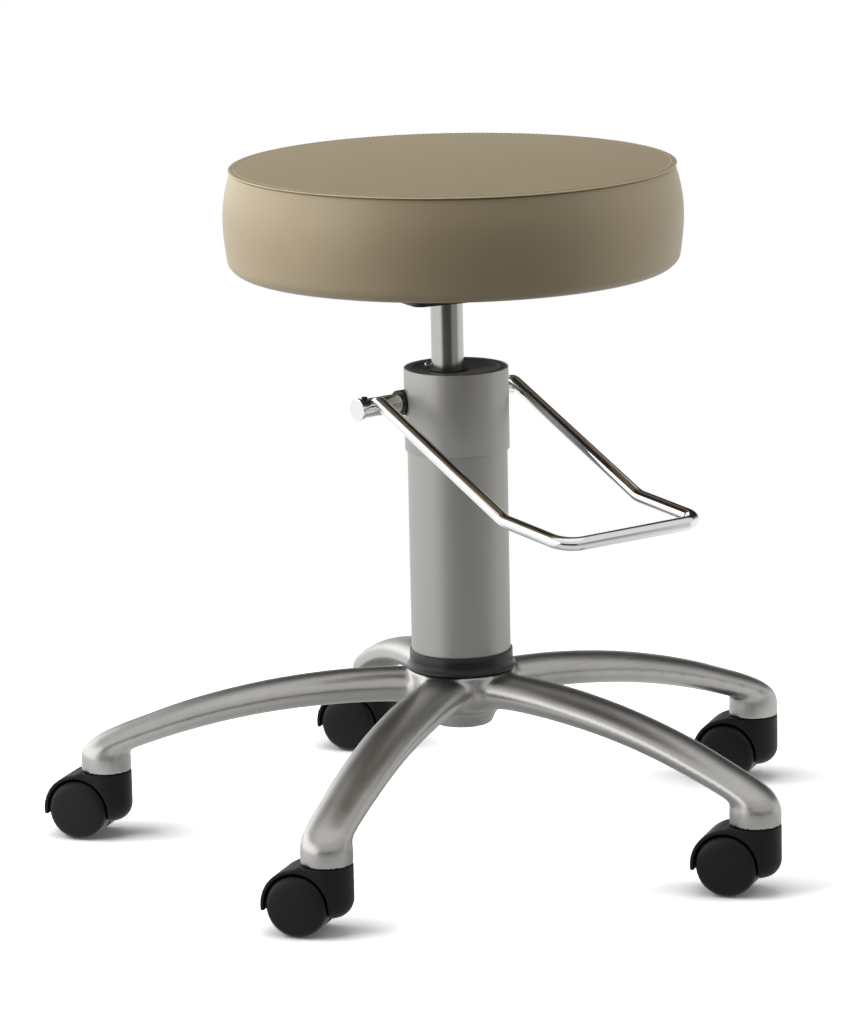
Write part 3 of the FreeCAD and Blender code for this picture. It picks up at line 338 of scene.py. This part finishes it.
def finishMesh(name, bm, finish, sharpDegrees=40):
    bmesh.ops.remove_doubles(bm, verts=bm.verts[:], dist=mergeWithin)
    bmesh.ops.recalc_face_normals(bm, faces=bm.faces[:])
    mesh = bpy.data.meshes.new(name)
    bm.to_mesh(mesh)
    bm.free()
    mesh.materials.append(finishes[finish])
    mesh.shade_smooth()
    mesh.set_sharp_from_angle(angle=math.radians(sharpDegrees))
    piece = bpy.data.objects.new(name, mesh)
    scene.collection.objects.link(piece)
    return piece


def dress(piece, body, slot, *replaced):
    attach(piece, body)
    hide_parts(*replaced)
    return piece


def jointNamed(name):
    return next(joint for joint in frame["joints"] if joint["name"] == name)


def mergedCopy(node):
    # a solid's mesh comes as loose triangles
    bm = bmesh.new()
    bm.from_mesh(nodes[node].data)
    bmesh.ops.remove_doubles(bm, verts=bm.verts[:], dist=mergeWithin)
    return bm


def smoothOnce(bm, verts):
    bmesh.ops.smooth_vert(bm, verts=verts, factor=0.5, use_axis_x=True, use_axis_y=True, use_axis_z=True)


def subdivideOnce(piece):
    smooth = piece.modifiers.new("smooth", "SUBSURF")
    smooth.levels = 1
    smooth.render_levels = 1


def outlineMesh(points, rounds=None, steps=6):
    # an open line of points in the XZ plane, with some corners rounded
    bm = bmesh.new()
    verts = [bm.verts.new((x, 0, z)) for x, z in points]
    for first, second in zip(verts, verts[1:]):
        bm.edges.new((first, second))
    for index, radius in (rounds or {}).items():
        bmesh.ops.bevel(bm, geom=[verts[index]], offset=radius, offset_type="OFFSET", segments=steps, profile=0.5,
                        affect="VERTICES", material=-1)
    return bm


def spunMesh(bm, steps):
    bmesh.ops.spin(bm, geom=bm.verts[:] + bm.edges[:], cent=(0, 0, 0), axis=upAxis, angle=fullTurn, steps=steps,
                   use_merge=True)
    bmesh.ops.remove_doubles(bm, verts=bm.verts[:], dist=mergeWithin)
    return bm


def swellWithCloth(piece, heldGroup, fixed):
    # blows the cover out, limits how far each point went, then pulls the vinyl taut again
    start = [vert.co.copy() for vert in piece.data.vertices]
    cloth = piece.modifiers.new("swell", "CLOTH")
    cloth.settings.quality = cushion["quality"]
    cloth.settings.mass = cushion["mass"]
    for strain in ("tension", "compression", "shear"):
        setattr(cloth.settings, strain + "_stiffness", cushion["stiffness"])
    cloth.settings.bending_stiffness = cushion["bending"]
    cloth.settings.use_pressure = True
    cloth.settings.uniform_pressure_force = cushion["pressure"]
    cloth.settings.vertex_group_mass = heldGroup
    cloth.settings.effector_weights.gravity = 0
    cloth.point_cache.frame_end = cushion["frames"]
    for step in range(1, cushion["frames"] + 1):
        scene.frame_set(step)
    swollen = piece.evaluated_get(bpy.context.evaluated_depsgraph_get()).to_mesh()
    moved = [vert.co.copy() for vert in swollen.vertices]
    piece.modifiers.remove(cloth)
    scene.frame_set(1)
    for vert, old, new in zip(piece.data.vertices, start, moved):
        shift = new - old
        if shift.length > cushion["cap"]:
            shift.length = cushion["cap"]
        vert.co = old + shift
    bm = bmesh.new()
    bm.from_mesh(piece.data)
    free = [vert for vert in bm.verts if vert.index not in fixed]
    for step in range(cushion["tautRounds"]):
        smoothOnce(bm, free)
    bm.to_mesh(piece.data)
    bm.free()
    print("cloth moved up to", round(max((n - o).length for o, n in zip(start, moved)) * 1000, 2), "mm")


def makeCushion():
    seamZ = cushion["top"] - cushion["seamDrop"]
    seamRadius = cushion["radius"] - cushion["seamInset"]
    footRadius = cushion["radius"] - cushion["footInset"] - cushion["swell"] * cushion["footShare"]
    footZ = cushion["bottom"] + cushion["footRise"]
    under = cushion["bottom"] + cushion["bottomGap"]
    topRadius = seamRadius - cushion["tuck"]
    points = [(cushion["bottomRadius"], under + cushion["bottomTurn"]), (cushion["bottomRadius"], under),
              (footRadius - cushion["footRound"], cushion["bottom"] + cushion["skin"]), (footRadius, footZ)]
    rows = cushion["boxRows"]
    for row in range(1, rows):
        share = row / rows
        bulge = cushion["swell"] * (1 - abs(2 * share ** cushion["swellLean"] - 1) ** cushion["swellEdge"])
        points.append((footRadius + (seamRadius - footRadius) * share + bulge, footZ + (seamZ - footZ) * share))
    points += [(seamRadius - 0.0006, seamZ - 0.0012), (topRadius, seamZ + 0.0004),  # tucked in under the top panel
               (topRadius - 0.012, seamZ + 0.0004), (topRadius * 0.6, seamZ + 0.0010), (0, seamZ + 0.0010)]
    bm = outlineMesh(points, dict(enumerate(cushion["bottomRounds"], 1)), 4)
    cover = finishMesh("seat_cover", spunMesh(bm, cushion["steps"]), "vinyl", sharpDegrees=60)
    held = cover.vertex_groups.new(name="held")
    lowest, highest = footZ + cushion["heldMargin"], seamZ - cushion["heldMargin"]
    fixed = {vert.index for vert in cover.data.vertices if not lowest < vert.co.z < highest}
    held.add(list(fixed), 1.0, "REPLACE")
    swellWithCloth(cover, "held", fixed)
    subdivideOnce(cover)
    dress(cover, "seat", "cushion_vinyl", "seat_cushion")
    return seamZ, seamRadius


def makeTopPanel(seamZ, seamRadius):
    # the sewn top panel: crowned, dipped along the stitches, with an edge that lies over the boxing
    edge = seamRadius + cushion["lip"]
    stitch = edge - cushion["stitchInset"]
    crown = cushion["top"] - cushion["skin"]
    thick = cushion["panel"]
    rise = seamZ + thick + cushion["skin"]  # height of the panel beside its stitches
    points = [(0, crown)]
    points += [(stitch * share, rise + (crown - rise) * (1 - share ** 2)) for share in cushion["crownAt"]]
    # the dip along the stitches, then the lip and its underside
    points += [(stitch - 0.0022, rise + 0.0001), (stitch - 0.0008, rise - 0.0003),
               (stitch, rise - cushion["valley"]), (stitch + 0.0008, rise - 0.0003),
               (stitch + 0.0022, rise - 0.0001), (edge - 0.0012, rise - 0.0004), (edge, seamZ + thick * 0.45),
               (edge - 0.0004, seamZ - 0.0003), (edge - 0.0022, seamZ + 0.0001), (stitch - 0.010, seamZ + 0.0006)]
    bm = spunMesh(outlineMesh(points), cushion["steps"])
    panel = finishMesh("seat_top_panel", bm, "vinyl", sharpDegrees=80)
    subdivideOnce(panel)
    dress(panel, "seat", "cushion_vinyl")
    bm = bmesh.new()
    count = round(fullTurn * stitch / cushion["stitchPitch"])
    high = rise - cushion["valley"] + cushion["skin"]
    slim = cushion["stitchWidth"] / 2
    shape = Matrix.Diagonal((slim, cushion["stitchLength"] / 2, slim * cushion["stitchFlat"], 1))
    for number in range(count):
        turn = Matrix.Rotation(fullTurn * number / count, 4, "Z")
        bmesh.ops.create_icosphere(bm, subdivisions=1, radius=1.0,
                                   matrix=turn @ Matrix.Translation((stitch, 0, high)) @ shape)
    dress(finishMesh("seat_stitches", bm, "thread"), "seat", "cushion_vinyl")
    print("stitches:", count)


makeTopPanel(*makeCushion())
print("cushion made")


chooseEvery = 5  # rounds of smoothing


def smoothCopy(name, node, finish, voxel, rounds):
    # a merged copy of a solid, remeshed fine and eased so that its edges are round, as cast or moulded
    piece = finishMesh(name, mergedCopy(node), finish)
    fine = piece.modifiers.new("fine", "REMESH")
    fine.mode = "VOXEL"
    fine.voxel_size = voxel
    fine.adaptivity = 0
    mesh = bpy.data.meshes.new_from_object(piece.evaluated_get(bpy.context.evaluated_depsgraph_get()))
    piece.modifiers.clear()
    piece.data = mesh
    bm = bmesh.new()
    bm.from_mesh(mesh)
    for choose, passes in rounds:
        for step in range(passes):
            if step % chooseEvery == 0:  # the chosen part shrinks as the rounds go on, so its border fades out
                chosen = [vert for vert in bm.verts if choose(vert.co, step / passes)]
            smoothOnce(bm, chosen)
    bm.to_mesh(mesh)
    bm.free()
    mesh.materials.clear()
    mesh.materials.append(finishes[finish])
    mesh.shade_smooth()
    return piece


casting = {"voxel": 0.00172, "passes": 6, "hubPasses": 70, "hubReach": 0.085, "hubTop": 0.006, "hubFoot": 0.010,
           "hubFade": (1.35, 0.6), "elbowPasses": 22, "elbowReach": 0.034, "elbowFoot": 0.016,
           "elbowFade": (1.7, 1.2), "rim": 0.0014}
hood = {"voxel": 0.0008, "passes": 4}


def makeBase():
    low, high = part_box("base_casting")
    tipReach = Vector(jointNamed("caster_swivel_1")["pos_m"]).xy.length
    hubWide, hubShrink = casting["hubFade"]
    elbowWide, elbowShrink = casting["elbowFade"]

    def nearHub(point, share):
        # the fillets between the legs, clear of the flat top that the ring sits on
        reach = casting["hubReach"] * (hubWide - hubShrink * share)
        return point.xy.length < reach and low.z + casting["hubFoot"] < point.z < high.z - casting["hubTop"]

    def nearElbow(point, share):
        reach = tipReach - casting["elbowReach"] * (elbowWide - elbowShrink * share)
        return point.xy.length > reach and point.z > low.z + casting["elbowFoot"]

    def overRim(point, share):
        return point.z > low.z + casting["rim"]

    def everywhere(point, share):
        return True

    rounds = [(nearHub, casting["hubPasses"]), (nearElbow, casting["elbowPasses"]), (overRim, casting["passes"])]
    base = smoothCopy("cast_base", "base_casting", "aluminium", casting["voxel"], rounds)
    dress(base, "stand", "cast_aluminium", "base_casting")
    for number in range(1, 6):
        cover = smoothCopy("caster_shell_%d" % number, "caster_hood_%d" % number, "blackHood", hood["voxel"],
                           [(everywhere, hood["passes"])])
        dress(cover, "caster_%d" % number, "black_plastic", "caster_hood_%d" % number)


makeBase()
print("base and hoods made")


easedEdges = {  # node, then the new piece, its body and slot, its finish, the width of the rounding
    "column_sleeve": ("upper_sleeve", "stand", "grey_paint", "paint", 0.0006),
    "column_cap": ("top_cap", "stand", "black_plastic", "blackCap", 0.0007),
    "base_ring": ("trim_ring", "stand", "black_plastic", "blackRing", 0.0008),
    "pedal_end_cap": ("bar_end_cap", "foot_bar", "chrome", "chromeBar", 0.0012),
}
sharpFrom = math.radians(45)


def easedCopy(node, name, body, slot, finish, width):
    # a merged copy of a solid with its sharp edges rounded off
    bm = mergedCopy(node)
    sharp = [edge for edge in bm.edges if edge.calc_face_angle(0) > sharpFrom]
    bmesh.ops.bevel(bm, geom=sharp, offset=width, offset_type="OFFSET", segments=3, profile=0.5, affect="EDGES",
                    clamp_overlap=True, material=-1)
    dress(finishMesh(name, bm, finish, sharpDegrees=35), body, slot, node)
    print(name, "edges rounded:", len(sharp))


for node, details in easedEdges.items():
    easedCopy(node, *details)


def makeSpring():
    # the return spring, copied at its full length; in use it shortens by the stroke of the plunger above it
    stroke = jointNamed("pump_slide")["range_m"][1]
    low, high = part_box("pump_spring")
    coil = finishMesh("pump_coil", mergedCopy("pump_spring"), "zincSteel")
    spring = dress(coil, "stand", "bright_steel", "pump_spring")
    1 - stroke / (high.z - low.z)
    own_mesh(spring)


makeSpring()
print("spring made")


wheel = {"steps": 96, "radius": 0.0255, "inner": 0.0034, "rim": 0.0229, "rimGap": 0.0002, "dome": 0.0020,
         "domeReach": 0.6, "domeShare": 0.62, "round": 0.0052, "trackRound": 0.0010}


def makeWheels():
    points = [(0, wheel["inner"]), (wheel["radius"], wheel["inner"]),
              (wheel["radius"], wheel["rim"] - wheel["rimGap"]),
              (wheel["radius"] * wheel["domeReach"], wheel["rim"] + wheel["dome"] * wheel["domeShare"]),
              (0, wheel["rim"] + wheel["dome"])]
    for joint in frame["joints"]:
        if not joint["name"].startswith("wheel_spin"):
            continue
        side, number = joint["name"].split("_")[-2:]
        bm = spunMesh(outlineMesh(points, {1: wheel["trackRound"], 2: wheel["round"]}), wheel["steps"])
        outward = Vector(joint["axis"]) * (1 if side == "left" else -1)
        turn = upAxis.rotation_difference(outward).to_matrix().to_4x4()
        bm.transform(Matrix.Translation(Vector(joint["pos_m"])) @ turn)
        name = "%s_%s" % (side, number)
        piece = finishMesh("wheel_" + name, bm, "blackWheel", sharpDegrees=50)
        dress(piece, joint["child"], "wheel_plastic", "caster_wheel_" + name)


makeWheels()
print("wheels made")


bar = {"radius": 0.0056, "sides": 40, "bendSteps": 16, "span": 0.0707, "neck": (0.0101, 0.00575),
       "knee": (0.1719, -0.06875), "front": (0.2504, -0.0768), "bends": (0.008, 0.030, 0.017)}


def bentRod(name, points, bends, finish):
    # a ring drawn along straight runs and swung round each bend
    bm = bmesh.new()
    ahead = (points[1] - points[0]).normalized()
    start = Matrix.Translation(points[0]) @ ahead.to_track_quat("Z", "Y").to_matrix().to_4x4()
    bmesh.ops.create_circle(bm, cap_ends=False, segments=bar["sides"], radius=bar["radius"], matrix=start)
    ring = bm.edges[:]
    here = points[0]
    for corner, after, bend in zip(points[1:], points[2:], bends):
        leaving = (after - corner).normalized()
        turn = ahead.angle(leaving)
        length = bend * math.tan(turn / 2)
        ring = drawn(bm, ring, corner - ahead * length - here)
        axis = ahead.cross(leaving).normalized()
        centre = corner - ahead * length + axis.cross(ahead) * bend
        swung = bmesh.ops.spin(bm, geom=ring, cent=centre, axis=axis, angle=turn, steps=bar["bendSteps"])
        ring = [part for part in swung["geom_last"] if isinstance(part, bmesh.types.BMEdge)]
        here = corner + leaving * length
        ahead = leaving
    drawn(bm, ring, points[-1] - here)
    return finishMesh(name, bm, finish, sharpDegrees=60)


def drawn(bm, ring, run):
    longer = bmesh.ops.extrude_edge_only(bm, edges=ring)["geom"]
    bmesh.ops.translate(bm, vec=run, verts=[part for part in longer if isinstance(part, bmesh.types.BMVert)])
    return [part for part in longer if isinstance(part, bmesh.types.BMEdge)
            and all(vert in longer for vert in part.verts)]


def makeFootBar():
    shaft = Vector(jointNamed("foot_bar_hinge")["pos_m"])
    left = [shaft + Vector((-bar["span"], -forward, rise))
            for forward, rise in ((0, 0), bar["neck"], bar["knee"], bar["front"])]
    points = left + [Vector((-point.x, point.y, point.z)) for point in reversed(left)]
    bends = bar["bends"] + tuple(reversed(bar["bends"]))
    dress(bentRod("foot_rod", points, bends, "chromeBar"), "foot_bar", "chrome", "pedal_bar")


makeFootBar()
print("foot bar made")


view = {"lens": 179.3, "sensor": 36.0, "place": (-2.5728, -3.2758, 1.1750), "heading": -37.822, "pitch": 12.140,
        "roll": -1.146, "clipEnd": 50}


def makeCamera():
    data = bpy.data.cameras.new("photoView")
    data.lens = view["lens"]
    data.sensor_width = view["sensor"]
    data.clip_end = view["clipEnd"]
    camera = bpy.data.objects.new("photoView", data)
    scene.collection.objects.link(camera)
    camera.matrix_world = (Matrix.Translation(view["place"])
                           @ Matrix.Rotation(math.radians(view["heading"]), 4, "Z")
                           @ Matrix.Rotation(math.radians(90 - view["pitch"]), 4, "X")
                           @ Matrix.Rotation(math.radians(view["roll"]), 4, "Z"))
    scene.camera = camera


studio = {
    "aim": (0, 0, 0.33), "ambient": 0.015, "dark": 0.02, "lean": 0.35,
    "floorRadius": 9.0, "nearest": 0.001, "floorSeen": 2.3, "floorBounce": 0.34, "floorMirror": 0.60,
    "mirrorFade": (0.75, 1.3), "nearGlow": 0.06, "glowFade": (0.45, 1.1), "underShade": 0.35,
    "underFade": (0.08, 0.42), "contactReach": 0.06, "contactDark": 0.92,
    "leftWhite": 2.0, "leftFrom": (0.50, 0.74), "leftTop": (0.35, 0.85),
    "rightPale": 0.3, "paleFrom": (0.42, 0.60), "rightWhite": 0.95, "rightFrom": (0.80, 1.0),
    "rightTop": (0.20, 0.70),
    "backFrom": (-0.10, 0.45), "backTop": (0.0, 0.25),
    "ceiling": 0.75, "ceilingTilt": 0.8, "ceilingFrom": (0.30, 0.60), "ceilingFoot": (0.08, 0.35),
    "overhead": 1.0, "overheadFrom": (0.62, 0.86)}
lamps = {  # across, towards the camera and up from the aim, in metres, then width, height and watts
    "leftSoftbox": ((-1.75, 0.28, 0.80), 2.5, 1.8, 46.0),
    "rightStrip": ((1.75, 0.10, 0.60), 1.6, 1.5, 17.0),
    "topSoftbox": ((0.0, -0.05, 1.75), 1.4, 1.4, 9.0),
}


def makeLamps():
    heading = Matrix.Rotation(math.radians(view["heading"]), 3, "Z")
    aim = Vector(studio["aim"])
    for name, ((across, towards, up), width, height, watts) in lamps.items():
        data = bpy.data.lights.new(name, "AREA")
        data.shape = "RECTANGLE"
        data.size = width
        data.size_y = height
        data.energy = watts
        lamp = bpy.data.objects.new(name, data)
        scene.collection.objects.link(lamp)
        place = aim + heading @ Vector((across, -towards, up))
        lamp.location = place
        lamp.rotation_euler = (aim - place).to_track_quat("-Z", "Y").to_euler()
        lamp.visible_camera = False
        lamp.visible_glossy = False  # gloss shows the flats of the world instead


def seenRays(shop):
    # rays that show the studio itself: straight, mirrored or through glass
    straight, mirrored, through = [shop.make("ShaderNodeLightPath", output=name)
                                   for name in ("Is Camera Ray", "Is Glossy Ray", "Is Transmission Ray")]
    return straight, mirrored.most(through)


def acrossAndBehind(x, y):
    # a place or a direction as the photograph looks at it
    heading = math.radians(view["heading"])
    return x * math.cos(heading) + y * math.sin(heading), y * math.cos(heading) - x * math.sin(heading)


def whiteSides(shop, across, behind):
    # a white flat on the left, a pale one on the right that is white further back, a sweep behind and a dark front
    left = eased(shop, studio["lean"] * behind.most(0.0) - across, *studio["leftFrom"])
    pale = studio["rightPale"] * eased(shop, across, *studio["paleFrom"])
    right = pale.most(studio["rightWhite"] * eased(shop, across + studio["lean"] * behind, *studio["rightFrom"]))
    return left, right, eased(shop, behind, *studio["backFrom"])


def makeWorld():
    # what gloss shows: the flats and the low sweep, a pale ceiling towards the camera, white overhead, else dark
    world = bpy.data.worlds.new("studioWorld")
    world.use_nodes = True
    scene.world = world
    shop = Shop(world.node_tree)
    straight, mirrored = seenRays(shop)
    x, y, z = shop.axes(shop.make("ShaderNodeTexCoord", output=0))
    across, behind = acrossAndBehind(x, y)
    left, right, back = whiteSides(shop, across, behind)
    flats = (studio["leftWhite"] * left * (1 - eased(shop, z, *studio["leftTop"]))).most(
        right * (1 - eased(shop, z, *studio["rightTop"])))
    flats = flats.most(back * (1 - eased(shop, z, *studio["backTop"])))
    ceiling = eased(shop, z - studio["ceilingTilt"] * behind + studio["lean"] * across, *studio["ceilingFrom"])
    ceiling = ceiling * eased(shop, z, *studio["ceilingFoot"]) * studio["ceiling"]
    overhead = studio["overhead"] * eased(shop, z, *studio["overheadFrom"])
    room = flats.most(ceiling).most(overhead).most(studio["dark"])
    seen = straight.most(mirrored * room)
    lit = (1 - straight.most(mirrored)) * studio["ambient"]
    shop.feed(world.node_tree.nodes["Background"], {"Color": (1, 1, 1, 1), "Strength": seen + lit})


def makeFloor():
    bm = bmesh.new()
    bmesh.ops.create_circle(bm, cap_ends=True, segments=96, radius=studio["floorRadius"])
    mesh = bpy.data.meshes.new("studioFloor")
    bm.to_mesh(mesh)
    bm.free()
    floor = bpy.data.objects.new("studioFloor", mesh)
    scene.collection.objects.link(floor)
    material = bpy.data.materials.new("paleFloor")
    material.use_nodes = True
    material.node_tree.nodes.clear()
    shop = Shop(material.node_tree)
    straight, mirrored = seenRays(shop)
    x, y = shop.axes(shop.place())[:2]
    reach = ((x * x + y * y) ** 0.5).most(studio["nearest"])
    far = eased(shop, reach, *studio["glowFade"])
    near = (1 - eased(shop, reach, *studio["mirrorFade"])) * studio["floorMirror"]
    left, right, back = whiteSides(shop, *acrossAndBehind(x / reach, y / reach))
    # the object shades the floor under it
    dim = studio["underShade"] + (1 - studio["underShade"]) * eased(shop, reach, *studio["underFade"])
    reflected = mirrored * near.most(left.most(right).most(back)) * dim
    seen = straight * (studio["nearGlow"] + (1 - studio["nearGlow"]) * far)
    clear = shop.make("ShaderNodeAmbientOcclusion", {"samples": 8}, {"Distance": studio["contactReach"]}, 1)
    shaded = 1 - studio["contactDark"] * (1 - clear)
    level = studio["floorBounce"] + (studio["floorSeen"] * shaded - studio["floorBounce"]) * straight
    glow = shop.make("ShaderNodeEmission", None, {"Color": (1, 1, 1, 1), "Strength": 1.0})
    matt = shop.make("ShaderNodeBsdfDiffuse", None, {"Color": shop.stretched(level, level, level)})
    share = seen + reflected
    mixed = shop.make("ShaderNodeMixShader", None, {0: share, 1: matt, 2: glow})
    shop.make("ShaderNodeOutputMaterial", None, {"Surface": mixed})
    mesh.materials.append(material)


makeCamera()
makeLamps()
makeWorld()
makeFloor()
print("studio made")
